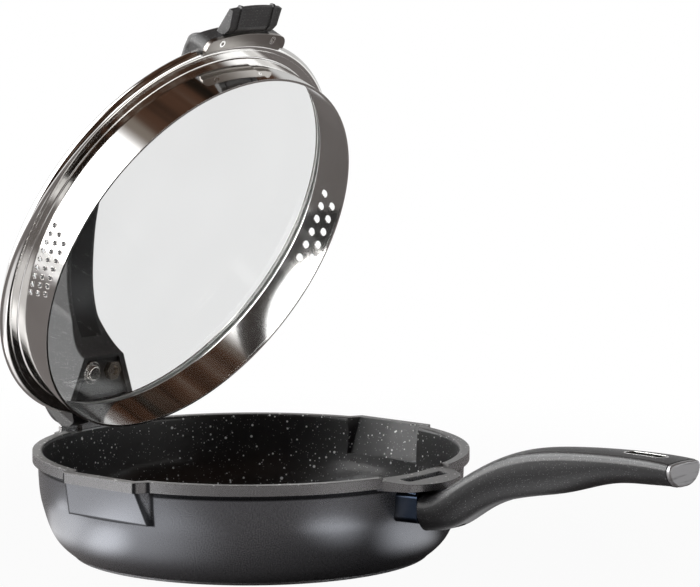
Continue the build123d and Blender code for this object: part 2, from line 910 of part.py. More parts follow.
with BuildPart() as front_foot:
    with BuildSketch(Plane.XZ.rotated((0, 0, -foot_arc))):
        with BuildLine():
            Polyline(
                (foot_inner, channel_top),
                (foot_inner + 1.5, channel_top + 3.7),
                (foot_inner + 5, channel_top + 5.1),
                (foot_outer - 3, channel_top + 5.1),
                (foot_outer, channel_top + 2.6),
                (foot_outer, foot_bottom + clamp_strip),
                (channel_radius, foot_bottom + clamp_strip),
                (channel_radius, channel_top),
                close=True,
            )
        make_face()
    revolve(axis=Axis.Z, revolution_arc=2 * foot_arc)
    fillet(front_foot.edges().filter_by(Axis.Z).group_by(Axis.X)[-1], foot_corner)


with BuildPart() as thumb_tab:
    with BuildSketch(Plane.XZ):
        Polygon(
            (foot_outer - 5, foot_bottom + 11.6),
            (foot_outer - 1.5, foot_bottom + 10.1),
            (tab_reach, foot_bottom + 4.8),
            (tab_reach, foot_bottom + 2.2),
            (foot_outer + 5.5, foot_bottom + 0.2),
            (foot_outer + 2.5, foot_bottom + 1.2),
            (foot_outer - 0.6, foot_bottom + clamp_strip),
            align=None,
        )
    extrude(amount=tab_half_width, both=True)
    with BuildSketch(Plane.XY.offset(60)):
        with BuildLine():
            Polyline(
                (foot_outer - 8, tab_root_half_width),
                (foot_outer, tab_root_half_width),
                (tab_reach - 2, tab_half_width),
            )
            ThreePointArc(
                (tab_reach - 2, tab_half_width), (tab_reach, 0), (tab_reach - 2, -tab_half_width)
            )
            Polyline(
                (tab_reach - 2, -tab_half_width),
                (foot_outer, -tab_root_half_width),
                (foot_outer - 8, -tab_root_half_width),
                (foot_outer - 8, tab_root_half_width),
            )
        make_face()
    extrude(amount=30, mode=Mode.INTERSECT)
    fillet(thumb_tab.edges().filter_by(Axis.Y).sort_by(Axis.X)[-2:], 1)


with BuildPart() as tab_ribs:
    with BuildSketch(Plane.XZ.offset(rib_spread - rib_thickness / 2)):
        Polygon(
            (foot_outer + 1, foot_bottom + 2.6),
            (foot_outer + 1.8, foot_bottom + 0.9),
            (foot_outer + 5.2, foot_bottom - 0.7),
            (tab_reach + 0.3, foot_bottom + 1.5),
            (tab_reach + 0.9, foot_bottom + 3),
            (tab_reach + 0.3, foot_bottom + 5.4),
            (tab_reach - 6, foot_bottom + 6.8),
            (tab_reach - 6, foot_bottom + 3.6),
            align=None,
        )
    extrude(amount=rib_thickness)
    mirror(about=Plane.XZ)


with BuildPart() as handle_liner:
    liner_front = bow_front - 21
    liner_back = 6 - face_reach
    with BuildSketch(Plane.XZ):
        with BuildLine():
            bow_underside()
            bow_underside(liner_thickness)
            Line(bow_foot, arch_moved(bow_foot, liner_thickness))
            Line(face_top, arch_moved(face_top, liner_thickness))
        make_face()
        with Locations(((liner_front + liner_back) / 2, channel_top + 61.1)):
            Rectangle(liner_front - liner_back, 80, mode=Mode.INTERSECT)
    extrude(amount=liner_half_width, both=True)

# Fixings on the face of the rear foot: a recessed plate, a domed screw and a hexagon nut
face_length = sqrt((face_top[0] - face_foot[0]) ** 2 + (face_top[1] - face_foot[1]) ** 2)
plate_plane = face_plane.offset(-face_recess)
screw_at = (-fixing_spread / 2, face_length / 2 - fixing_inset)
nut_at = (fixing_spread / 2, face_length / 2 - fixing_inset)

with BuildPart() as face_plate_form:
    with BuildSketch(plate_plane):
        Polygon(
            (-plate_top_half, face_length / 2 - face_border),
            (plate_top_half, face_length / 2 - face_border),
            (plate_foot_half, face_border - face_length / 2),
            (-plate_foot_half, face_border - face_length / 2),
            align=None,
        )
    extrude(amount=face_recess + 1)

with BuildPart() as rear_foot_plate:
    add(face_plate_form.part)
    with BuildSketch(plate_plane.offset(plate_thickness)):
        Rectangle(100, 100)
    extrude(amount=10, mode=Mode.SUBTRACT)
    with BuildSketch(plate_plane):
        with Locations(screw_at, nut_at):
            Circle(fixing_radius + fit_gap)
    extrude(amount=5, mode=Mode.SUBTRACT)

with BuildPart() as foot_washer:
    with BuildSketch(plate_plane.offset(plate_thickness)):
        with Locations(screw_at):
            Circle(washer_radius)
            Circle(fixing_radius + fit_gap, mode=Mode.SUBTRACT)
    extrude(amount=washer_height)
    chamfer(foot_washer.edges().filter_by(GeomType.CIRCLE).sort_by(SortBy.LENGTH)[-1], 0.8)

with BuildPart() as foot_screw:
    with BuildSketch(plate_plane.offset(plate_thickness + washer_height)):
        with Locations(screw_at):
            Circle(washer_radius - 2.8)
    extrude(amount=2.2)
    fillet(foot_screw.faces().sort_by(Axis.Z)[0].edges(), 1.5)
    with BuildSketch(plate_plane.offset(plate_thickness + washer_height)):
        with Locations(screw_at):
            Circle(fixing_radius)
    extrude(amount=-14)

with BuildPart() as foot_nut:
    with BuildSketch(plate_plane.offset(plate_thickness)):
        with Locations(nut_at):
            RegularPolygon(nut_width / 2, 6, major_radius=False)
    extrude(amount=nut_height)
    with BuildSketch(plate_plane.offset(plate_thickness + nut_height)):
        with Locations(nut_at):
            Circle(fixing_radius + 0.9)
    extrude(amount=-1.5, mode=Mode.SUBTRACT)
    with BuildSketch(plate_plane.offset(plate_thickness)):
        with Locations(nut_at):
            Circle(fixing_radius)
    extrude(amount=-12)

# Front foot clamp: a strip below the rolled rim and its two screws
with BuildPart() as front_clamp:
    with BuildSketch(Plane.XZ.rotated((0, 0, -foot_arc))):
        with BuildLine():
            Polyline(
                (rim_radius + 0.7, foot_bottom),
                (foot_outer, foot_bottom),
                (foot_outer, foot_bottom + clamp_strip),
                (channel_radius + clamp_lip, foot_bottom + clamp_strip),
                (channel_radius + clamp_lip, flange_z + 0.1),
                (rim_radius + 0.7, flange_z + 0.1),
                close=True,
            )
        make_face()
    revolve(axis=Axis.Z, revolution_arc=2 * foot_arc)
    fillet(front_clamp.edges().filter_by(Axis.Z).group_by(Axis.X)[-1], foot_corner)
    add(rim_envelope.part, mode=Mode.SUBTRACT)

clamp_screw_x = sqrt((foot_outer - clamp_screw_inset) ** 2 - clamp_screw_side ** 2)
clamp_screw_places = [(clamp_screw_x, clamp_screw_side), (clamp_screw_x, -clamp_screw_side)]

with BuildPart() as clamp_bores:
    with BuildSketch(Plane.XY.offset(foot_bottom - 1)):
        with Locations(*clamp_screw_places):
            Circle(1.52)
    extrude(amount=10)

with BuildPart() as front_clamp_screws:
    with BuildSketch(Plane.XY.offset(foot_bottom)):
        with Locations(*clamp_screw_places):
            Circle(2.7)
    extrude(amount=1.6)
    with BuildSketch(Plane.XY.offset(foot_bottom)):
        with Locations(*clamp_screw_places):
            Circle(1.5)
    extrude(amount=8.5)
    with BuildSketch(Plane.XY.offset(foot_bottom)):
        with Locations(*clamp_screw_places):
            RegularPolygon(1.3, 6)
    extrude(amount=1, mode=Mode.SUBTRACT)

with BuildPart() as clamp_head_seats:
    with BuildSketch(Plane.XY.offset(foot_bottom - 1)):
        with Locations(*clamp_screw_places):
            Circle(2.75)
    extrude(amount=2.6)

with BuildPart() as front_clamp_bored:
    add(front_clamp.part)
    add(clamp_bores.part, mode=Mode.SUBTRACT)
    add(clamp_head_seats.part, mode=Mode.SUBTRACT)

with BuildPart() as pin_plug:
    with BuildSketch(Plane.XZ.offset(-cheek_half_width)):
        with Locations((hinge_x, hinge_z)):
            Circle(pin_radius + plug_border)
    extrude(amount=plug_head)
    with BuildSketch(Plane.XZ.offset(-cheek_half_width)):
        with Locations((hinge_x, hinge_z)):
            Circle(pin_radius + press_gap)
    extrude(amount=plug_head + 1.4)

with BuildPart() as lid_handle:
    add(bow_form.part)
    add(front_foot.part)
    add(thumb_tab.part)
    add(tab_ribs.part)
    add(rim_envelope.part, mode=Mode.SUBTRACT)
    add(front_clamp.part, mode=Mode.SUBTRACT)
    add(handle_liner.part, mode=Mode.SUBTRACT)
    add(face_plate_form.part, mode=Mode.SUBTRACT)
    with BuildSketch(plate_plane):
        with Locations(screw_at):
            Circle(fixing_radius + press_gap)
    extrude(amount=-14, mode=Mode.SUBTRACT)
    with BuildSketch(plate_plane):
        with Locations(nut_at):
            Circle(fixing_radius + press_gap)
    extrude(amount=-12, mode=Mode.SUBTRACT)
    with BuildSketch(Plane.XZ.offset(-cheek_inner)):
        with Locations((hinge_x, hinge_z)):
            Polygon((-16, -1), (0, 6.9), (5, 5), (5, -20), (-16, -20), align=None)
    extrude(amount=2 * cheek_inner, mode=Mode.SUBTRACT)
    with BuildSketch(Plane.XZ.offset(-cheek_half_width - 4)):
        with Locations((hinge_x, hinge_z)):
            Circle(pin_radius + pin_clearance)
    extrude(amount=cheek_half_width + 4 + pin_half_length + 0.3, mode=Mode.SUBTRACT)
    with BuildSketch(Plane.XZ.offset(-cheek_half_width)):
        with Locations((hinge_x, hinge_z)):
            Circle(pin_radius + plug_border + press_gap)
    extrude(amount=plug_head, mode=Mode.SUBTRACT)
    add(clamp_bores.part, mode=Mode.SUBTRACT)

standing = {
    "pan_body": pan_body,
    "induction_disc": induction_disc,
    "handle_ferrule": handle_ferrule,
    "handle_grip": handle_grip,
    "hanging_eye_liner": eye_liner,
    "handle_end_cap": handle_end_cap,
    "handle_screw": handle_screw,
    "hinge_bracket": hinge_bracket,
    "bracket_clamp_plate": clamp_plate,
    "bracket_screws": clamp_screws,
    "hinge_pin": hinge_pin,
    "hinge_washers": hinge_washers,
}
swinging = {
    "strainer_band": strainer_band,
    "lid_rim": lid_rim,
    "glass_seal": glass_seal,
    "lid_glass": lid_glass,
    "lid_handle": lid_handle,
    "handle_liner": handle_liner,
    "rear_foot_plate": rear_foot_plate,
    "foot_washer": foot_washer,
    "foot_screw": foot_screw,
    "foot_nut": foot_nut,
    "front_clamp": front_clamp_bored,
    "front_clamp_screws": front_clamp_screws,
    "pin_plug": pin_plug,
}
hinge_axis = Axis((hinge_x, 0, hinge_z), (0, 1, 0))

for name, piece in {**standing, **swinging}.items():
    part = piece.part.rotate(hinge_axis, -open_angle) if name in swinging else piece.part
    part.label = name
    export_step(part, f"parts/{name}.step")
    print(f"{name}: {part.volume / 1000:.2f} cm3")
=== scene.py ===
import bpy
import math
from mathutils import Matrix, Vector

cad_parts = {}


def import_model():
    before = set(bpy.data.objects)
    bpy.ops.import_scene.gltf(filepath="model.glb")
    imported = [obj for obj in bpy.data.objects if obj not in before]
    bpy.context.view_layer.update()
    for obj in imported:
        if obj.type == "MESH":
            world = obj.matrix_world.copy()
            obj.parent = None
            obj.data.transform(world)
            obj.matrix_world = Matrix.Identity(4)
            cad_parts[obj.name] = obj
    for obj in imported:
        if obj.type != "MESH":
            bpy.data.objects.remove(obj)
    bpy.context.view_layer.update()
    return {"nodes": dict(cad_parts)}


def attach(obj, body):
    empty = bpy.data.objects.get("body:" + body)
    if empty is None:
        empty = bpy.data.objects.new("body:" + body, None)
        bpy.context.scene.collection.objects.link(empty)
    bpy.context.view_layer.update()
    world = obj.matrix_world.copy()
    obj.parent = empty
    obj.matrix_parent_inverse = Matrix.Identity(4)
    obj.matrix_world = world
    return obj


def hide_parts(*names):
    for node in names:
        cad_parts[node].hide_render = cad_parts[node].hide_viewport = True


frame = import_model()
nodes = frame["nodes"]
print("frame loaded with", len(nodes), "nodes")

camera = {
    "place": (1.6758, -1.8908, 0.5013),
    "target": (0.0509, 0.0428, 0.1743),
    "lens": 195.5,
    "sensor": 36.0,
    "clipEnd": 50,
}


def cameraView():
    view = bpy.data.cameras.new("photoView")
    view.lens = camera["lens"]
    view.sensor_width = camera["sensor"]
    view.clip_end = camera["clipEnd"]
    holder = bpy.data.objects.new("photoView", view)
    bpy.context.scene.collection.objects.link(holder)
    holder.location = camera["place"]
    way = Vector(camera["target"]) - Vector(camera["place"])
    holder.rotation_euler = way.to_track_quat("-Z", "Y").to_euler()
    bpy.context.scene.camera = holder


cameraView()


class Wire:
    # one socket of a node tree, so that shader maths reads as plain sums
    def __init__(self, tree, socket):
        self.tree = tree
        self.socket = socket

    def sum(self, operation, first, second):
        return self.tree.node("ShaderNodeMath", {"operation": operation}, {0: first, 1: second})

    def __add__(self, other):
        return self.sum("ADD", self, other)

    def __radd__(self, other):
        return self.sum("ADD", other, self)

    def __sub__(self, other):
        return self.sum("SUBTRACT", self, other)

    def __rsub__(self, other):
        return self.sum("SUBTRACT", other, self)

    def __mul__(self, other):
        return self.sum("MULTIPLY", self, other)

    def __rmul__(self, other):
        return self.sum("MULTIPLY", other, self)

    def __truediv__(self, other):
        return self.sum("DIVIDE", self, other)

    def above(self, other):
        return self.sum("GREATER_THAN", self, other)

    def below(self, other):
        return self.sum("LESS_THAN", self, other)

    def least(self, other):
        return self.sum("MINIMUM", self, other)

    def most(self, other):
        return self.sum("MAXIMUM", self, other)

    def size(self):
        return self.sum("ABSOLUTE", self, 0)

    def root(self):
        return self.sum("SQRT", self, 0)


class Tree:
    # a node tree with one way to add a node
    def __init__(self, nodeTree):
        self.nodeTree = nodeTree

    def node(self, kind, settings=None, values=None, output=0):
        made = self.nodeTree.nodes.new(kind)
        for key, value in (settings or {}).items():
            if key == "stops":
                ramp = made.color_ramp
                while len(ramp.elements) > 1:
                    ramp.elements.remove(ramp.elements[-1])
                ramp.elements[0].position = value[0][0]
                ramp.elements[0].color = (*value[0][1], 1)
                for place, tint in value[1:]:
                    ramp.elements.new(place).color = (*tint, 1)
            else:
                setattr(made, key, value)
        for key, value in (values or {}).items():
            if isinstance(value, Wire):
                self.nodeTree.links.new(value.socket, made.inputs[key])
            else:
                made.inputs[key].default_value = value
        return Wire(self, made.outputs[output]) if len(made.outputs) else None

    def split(self, vector):
        kind = "ShaderNodeSeparateXYZ"
        return [self.node(kind, {}, {0: vector}, axis) for axis in range(3)]

    def place(self):
        # the three object coordinates
        self.spot = self.node("ShaderNodeTexCoord", output="Object")
        return self.split(self.spot)

    def mix(self, factor, first, second):
        values = {0: factor, 6: first, 7: second}
        return self.node("ShaderNodeMix", {"data_type": "RGBA"}, values, 2)

    def noise(self, scale, detail=2.0, roughness=0.5, place=None):
        values = {"Vector": place or self.spot, "Scale": scale,
                  "Detail": detail, "Roughness": roughness}
        return self.node("ShaderNodeTexNoise", {}, values)

    def stretched(self, scale):
        # object coordinates stretched by three factors, for brushed and drawn marks
        return self.node("ShaderNodeMapping", {}, {"Vector": self.spot, "Scale": scale})

    def ease(self, value, low, high):
        # rises smoothly from 0 to 1 between two limits
        values = {0: value, 1: low, 2: high, 3: 0.0, 4: 1.0}
        return self.node("ShaderNodeMapRange", {"interpolation_type": "SMOOTHSTEP"}, values)

    def fade(self, value, low, high, most):
        # rises smoothly from 0 to its most, to say how strongly a noise shows
        return self.ease(value, low, high) * most

    def softEdges(self, radius):
        # the normal of the piece with its edges rounded off by a radius in metres
        return self.node("ShaderNodeBevel", {"samples": 6}, {"Radius": radius})

    def hollows(self, reach):
        # 1 in the bottom of an inner corner, 0 on open faces
        settings = {"samples": 8, "only_local": True}
        return 1 - self.node("ShaderNodeAmbientOcclusion", settings, {"Distance": reach}, "AO")

    def relief(self, strength, distance, height, edge=None):
        # fine surface relief, over edges that are rounded off by a radius in metres
        values = {"Strength": strength, "Distance": distance, "Height": height}
        if edge:
            values["Normal"] = self.softEdges(edge)
        return self.node("ShaderNodeBump", {}, values)

    def ray(self, kind):
        return self.node("ShaderNodeLightPath", output=kind)


def newMaterial(name):
    material = bpy.data.materials.new(name)
    material.use_nodes = True
    material.node_tree.nodes.clear()
    return material, Tree(material.node_tree)


def finishMaterial(tree, values, constants=None):
    made = tree.node("ShaderNodeBsdfPrincipled", {}, {**values, **(constants or {})})
    tree.node("ShaderNodeOutputMaterial", {}, {"Surface": made})


def tone(r, g, b):
    return (r, g, b, 1.0)


# the specks of a stone-look coating or a moulded plastic
def specks(tree, scale, share, size, soft=0.3):
    smallest = 0.35   # as a share of the largest
    values = {"Vector": tree.spot, "Scale": scale, "Randomness": 1.0}
    distance = tree.node("ShaderNodeTexVoronoi", {"feature": "F1"}, values)
    tint = tree.node("ShaderNodeTexVoronoi", {"feature": "F1"}, values, 1)
    chance = tree.node("ShaderNodeSeparateColor", {}, {0: tint}, 0)
    other = tree.node("ShaderNodeSeparateColor", {}, {0: tint}, 1)
    reach = size * (smallest + (1 - smallest) * other)
    speck = 1 - tree.ease(distance, reach * (1 - soft), reach)
    return speck * chance.below(share)


panLook = {   # lengths in metres; the marks follow the shape of the casting
    "outside": tone(0.235, 0.243, 0.262),
    "flake": tone(0.43, 0.445, 0.47),
    "drift": tone(0.185, 0.198, 0.225),
    "inside": tone(0.012, 0.012, 0.0125),
    "patch": tone(0.022, 0.021, 0.021),
    # painted sheen: the rim's flat top and the lug tops drawn lighter, as grazing light shows them on
    # the same dark coating
    "land": tone(0.15, 0.145, 0.14),
    "speck": tone(0.95, 0.95, 0.93),
    "rim": tone(0.375, 0.375, 0.38),
    # painted shade: the dark tone laid into the groove under the rim, the inner corners and along the
    # spout's edges
    "line": tone(0.008, 0.009, 0.012),
    "baseEdge": tone(0.45, 0.46, 0.48),
    "specks": [(300, 0.55, 0.26), (150, 0.40, 0.20), (620, 0.50, 0.30)],   # scale, share, size
    "faintSpecks": 0.35,
    "patches": (0.35, 0.8, 0.4),   # where a noise begins to show, where it is full, how much
    "flakes": (0.48, 0.78, 0.35),
    "drifts": (0.3, 0.8, 0.22),
    "noiseScales": (14, 2400, 9, 520),   # patches, flakes, drifts and cast grain
    "landSheenShare": 0.8,
    "landSpeckLoss": 0.35,
    "rimShare": 0.8,
    "lineShare": 0.94,
    "insideRough": (0.36, 0.10, 0.1),   # plain, more in patches, more on specks
    "outsideRough": (0.24, 0.07),   # plain, more on flakes
    "insideRelief": (0.8, 0.25),   # grain, specks
    "outsideRelief": 0.12,
    "metal": 0.9,
    "relief": (0.16, 0.0004),
    "edge": 0.0005,
    "coat": {"Coat Weight": 0.25, "Coat Roughness": 0.10},
    "height": 0.070,
    "innerRadius": 0.110,
    "wallSpan": 0.040,
    "wallMiddle": [   # height and radius of the middle of the wall
        (0.0, 0.112), (0.0056, 0.1196), (0.011, 0.1289), (0.019, 0.1336), (0.027, 0.1368),
        (0.035, 0.1390), (0.042, 0.1401), (0.051, 0.1411), (0.063, 0.1415), (0.0665, 0.1434),
        (0.070, 0.1444),
    ],
    "floorTop": 0.0045,
    "spoutMiddle": 0.002,
    "spoutFloor": 0.0446,
    "spoutWall": (0.1410, 0.28),   # reach at the spout's floor, slope
    "spoutMouth": (0.029, 0.148, 0.6),   # half width, at this reach, flare
    "lugTop": (0.0676, 0.1434, 0.1017),   # height, at this reach, slope
    "lugWidth": (0.0345, 0.136),   # half width, from this reach
    "landHeight": 0.0697,
    "rimBottom": 0.0629,
    "lugSide": (0.0608, 0.1475, 0.036),   # from this height, from this reach, half width
    "baseSide": (0.0022, 0.1185),   # up to this height, from this reach
    # where shade is painted into the groove under the rim and into the inner corners
    "groove": (0.0586, 0.0600, 0.0631),   # begins, is full, ends
    "grooveReach": 0.1436,
    "cornerReach": 0.005,
    "corners": (0.42, 0.72),
    "cornerStart": 0.036,
    # width of each painted shade line along the spout's edges
    "shadeLineWidth": (0.0005, 0.0014),   # half width of its dark core and of the whole line
    "facet": (0.035, 0.041, 0.18),   # half width, at this height, taper
    "facetRoot": 0.0355,
    "rimShadeLines": (0.0310, 0.0361),
    "facetLine": (0.0405, 0.0632, 0.130),   # lowest, highest, least depth
    "foot": (0.0411, 0.0362),   # height, half width
    "footLine": (0.0380, 0.0440, 0.130),
    "rimLine": (0.0630, 0.0697),
    "rimDepths": (0.149, 0.138),
}


def insideMask(tree, x, y, z):
    # the inside of the round wall and of the two spouts
    look = panLook
    stops = []
    for height, radius in look["wallMiddle"]:
        share = (radius - look["innerRadius"]) / look["wallSpan"]
        stops.append((height / look["height"], (share, share, share)))
    ramp = tree.node("ShaderNodeValToRGB", {"stops": stops}, {0: z / look["height"]})
    middle = ramp * look["wallSpan"] + look["innerRadius"]
    across, deep = (x - look["spoutMiddle"]).size(), y.size()
    wall, slope = look["spoutWall"]
    width, mouth, flare = look["spoutMouth"]
    inSpout = deep.below(wall + (z - look["spoutFloor"]) * slope)
    inSpout = inSpout * across.below(width + (mouth - deep) * flare)
    reach = (x * x + y * y).root()
    inside = reach.below(middle).most(inSpout * z.above(look["spoutFloor"]))
    return inside * z.above(look["floorTop"])


def landMask(x, y, z):
    # the flat top of the rim and the sloping tops of the lugs
    height, root, slope = panLook["lugTop"]
    halfWidth, start = panLook["lugWidth"]
    along = x.size()
    lug = z.above(height - (along - root) * slope) * y.size().below(halfWidth) * along.above(start)
    return z.above(panLook["landHeight"]).most(lug)


def paintedShadeLines(tree, x, y, z):
    # painted shade: dark lines in the groove under the rim, in the inner corners and along the edges of
    # the spouts
    look = panLook
    start, full, end = look["groove"]
    reach = (x * x + y * y).root()
    groove = tree.ease(z, start, full) * z.below(end) * reach.below(look["grooveReach"])
    corners = tree.ease(tree.hollows(look["cornerReach"]), *look["corners"])
    dark = groove.most(corners * z.above(look["cornerStart"]))
    across, deep = (x - look["spoutMiddle"]).size(), y.size()
    width, height, taper = look["facet"]
    front = (across - (width - (z - height) * taper)).size()
    footHeight, footWidth = look["foot"]
    foot = (z - footHeight).size() + across.above(footWidth)
    lines = [   # distance from the line, lowest and highest point, least depth
        (front, *look["facetLine"]),
        ((across - look["facetRoot"]).size(), *look["facetLine"]),
        (foot, *look["footLine"]),
    ]
    for mark, depth in zip(look["rimShadeLines"], look["rimDepths"]):
        lines.append(((across - mark).size(), *look["rimLine"], depth))
    for off, low, high, nearest in lines:
        line = (1 - tree.ease(off, *look["shadeLineWidth"])) * z.above(low) * z.below(high)
        dark = dark.most(line * deep.above(nearest))
    return dark


def panCoating():
    look = panLook
    material, tree = newMaterial("panCoating")
    x, y, z = tree.place()
    reach = (x * x + y * y).root()
    patchScale, flakeScale, driftScale, grainScale = look["noiseScales"]
    land = landMask(x, y, z)
    inside = insideMask(tree, x, y, z).most(land)
    small, large, faint = [specks(tree, *kind) for kind in look["specks"]]
    speck = (small + large + faint * look["faintSpecks"]).least(1.0)
    patches = tree.noise(patchScale, 2.0)
    insideTone = tree.mix(tree.fade(patches, *look["patches"]), look["inside"], look["patch"])
    # painted sheen of grazing light on the rim's flat top and the lug tops
    insideTone = tree.mix(land * look["landSheenShare"], insideTone, look["land"])
    shown = speck * (1 - land * look["landSpeckLoss"])
    insideTone = tree.mix(shown, insideTone, look["speck"])
    # the metallic lacquer outside, with its flakes, and the lighter rim band and base edge
    flake = tree.noise(flakeScale, 1.0)
    drift = tree.noise(driftScale, 2.0)
    outside = tree.mix(tree.fade(flake, *look["flakes"]), look["outside"], look["flake"])
    outside = tree.mix(tree.fade(drift, *look["drifts"]), outside, look["drift"])
    height, start, halfWidth = look["lugSide"]
    lug = z.above(height) * reach.above(start) * y.size().below(halfWidth)
    rim = (z.above(look["rimBottom"]) * (1 - land)).most(lug)
    outside = tree.mix(rim * look["rimShare"], outside, look["rim"])
    height, start = look["baseSide"]
    outside = tree.mix(z.below(height) * reach.above(start), outside, look["baseEdge"])
    # painted shade darkens the groove under the rim, the inner corners and the spout's edges
    outside = tree.mix(paintedShadeLines(tree, x, y, z) * look["lineShare"], outside, look["line"])
    plain, patchy, specky = look["insideRough"]
    rough = inside * (plain + patches * patchy + speck * specky)
    plain, flaky = look["outsideRough"]
    rough = rough + (1 - inside) * (plain + flaky * flake)
    grain = tree.noise(grainScale, 3.0, 0.6)
    grainy, raised = look["insideRelief"]
    height = inside * (grain * grainy + speck * raised)
    height = height + (1 - inside) * (flake * look["outsideRelief"])
    finishMaterial(tree, {
        "Base Color": tree.mix(inside, outside, insideTone),
        "Roughness": rough,
        "Metallic": (1 - inside) * look["metal"],
        "Normal": tree.relief(*look["relief"], height, look["edge"]),
    }, look["coat"])
    return material


steelLook = {
    "mirror": tone(0.80, 0.79, 0.77),
    "satin": tone(0.62, 0.62, 0.62),
    "bright": tone(0.82, 0.81, 0.79),
    "dull": tone(0.62, 0.60, 0.58),
    "ferrule": tone(0.026, 0.036, 0.056),
    "nut": tone(0.45, 0.40, 0.33),
    "clamp": tone(0.40, 0.375, 0.35),
    "stain": (0.35, 0.75, 0.3),   # where a noise begins to show, where it is full, how much
    "haze": (0.55, 0.8, 0.03),
    "relief": 0.0002,
}


def polishedSteel(name, rough, shade, bumpScale=260, edge=0.0002, wave=0.04):
    look = steelLook
    material, tree = newMaterial(name)
    tree.place()
    drift = tree.noise(24, 3.0)
    fine = tree.noise(bumpScale, 4.0, 0.65)
    finishMaterial(tree, {
        "Base Color": tree.mix(tree.fade(drift, *look["stain"]), shade, look["dull"]),
        "Roughness": rough + drift * 0.05 + tree.fade(fine, *look["haze"]),
        "Normal": tree.relief(wave, look["relief"], drift + fine * 0.2, edge),
    }, {"Metallic": 1.0})
    return material


brushedLook = {
    "disc": {"shade": tone(0.55, 0.55, 0.55), "dark": tone(0.3, 0.3, 0.3),
             "scale": (90, 900, 90), "rough": 0.3},
    "cap": {"shade": tone(0.52, 0.52, 0.53), "dark": tone(0.16, 0.16, 0.17),
            "scale": (60, 60, 900), "rough": 0.36},
    "marks": (0.5, 0.72, 0.6),   # where a noise begins to show, where it is full, how much
    "relief": (0.15, 0.0002),
    "edge": 0.0003,
}


def brushedMetal(name, kind):
    look, own = brushedLook, brushedLook[kind]
    material, tree = newMaterial(name)
    tree.place()
    lines = tree.noise(1.0, 4.0, 0.7, tree.stretched(own["scale"]))
    marks = tree.noise(0.6, 3.0, 0.6, tree.stretched(own["scale"]))
    finishMaterial(tree, {
        "Base Color": tree.mix(tree.fade(marks, *look["marks"]), own["shade"], own["dark"]),
        "Roughness": own["rough"] + lines * 0.15,
        "Normal": tree.relief(*look["relief"], lines, look["edge"]),
    }, {"Metallic": 0.9})
    return material


plasticLook = {
    "grip": tone(0.013, 0.013, 0.014),
    "lid": tone(0.044, 0.043, 0.043),
    # near-black plastic of the liner, foot plate and plug; on the handle's underside it is partly
    # painted shade
    "core": tone(0.008, 0.008, 0.009),
    "speck": tone(0.55, 0.55, 0.55),
    "specks": [   # fine and coarse; the share is part of the piece's own
        {"scale": 1500, "share": 1.0, "size": 0.42, "strength": 0.5},
        {"scale": 850, "share": 0.5, "size": 0.3, "strength": 0.35},
    ],
    "soft": 0.5,
    "grainScale": 1400,
    "relief": 0.00025,
    "edge": 0.0006,
    "shine": {"Specular IOR Level": 0.7, "IOR": 1.5},
}


def handlePlastic(name, body, speckShare, roughness, grainDepth=0.22):
    look = plasticLook
    material, tree = newMaterial(name)
    tree.place()
    shown = 0.0
    for kind in look["specks"]:
        share = speckShare * kind["share"]
        shown = specks(tree, kind["scale"], share, kind["size"], look["soft"]) * kind["strength"] + shown
    drift = tree.noise(30, 2.0)
    grain = tree.noise(look["grainScale"], 2.0, 0.6)
    finishMaterial(tree, {
        "Base Color": tree.mix(shown.least(1.0), body, look["speck"]),
        "Roughness": roughness + drift * 0.08,
        "Normal": tree.relief(grainDepth, look["relief"], grain, look["edge"]),
    }, look["shine"])
    return material


glassLook = {"thin": tone(0.825, 0.83, 0.83), "clear": tone(0.865, 0.87, 0.87), "bend": 1.30}


def clearGlass():
    material, tree = newMaterial("clearGlass")
    tree.place()
    film = tree.noise(7, 2.0)
    finishMaterial(tree, {
        "Base Color": tree.mix(tree.ease(film, 0.35, 0.75), glassLook["thin"], glassLook["clear"]),
        "Roughness": 0.01 + film * 0.02,
    }, {"Transmission Weight": 1.0, "IOR": glassLook["bend"]})
    return material


rubberLook = {"pale": tone(0.70, 0.70, 0.68), "worn": tone(0.60, 0.60, 0.58)}


def paleRubber(name):
    material, tree = newMaterial(name)
    tree.place()
    film = tree.noise(60, 3.0)
    finishMaterial(tree, {
        "Base Color": tree.mix(film, rubberLook["pale"], rubberLook["worn"]),
        "Roughness": 0.45 + film * 0.1,
        "Normal": tree.relief(0.1, 0.0002, tree.noise(900, 2.0)),
    })
    return material


print("materials")
mirrorSteel = polishedSteel("mirrorSteel", 0.05, steelLook["mirror"], wave=0.015)
satinSteel = polishedSteel("satinSteel", 0.24, steelLook["satin"], 700, 0.0003)
brightSteel = polishedSteel("brightSteel", 0.12, steelLook["bright"], 400, 0.0004)
# black plastic, made darker than the lid's plastic partly as painted shade of the handle's underside
shadedBlackPlastic = handlePlastic("shadedBlackPlastic", plasticLook["core"], 0.03, 0.32, 0.1)

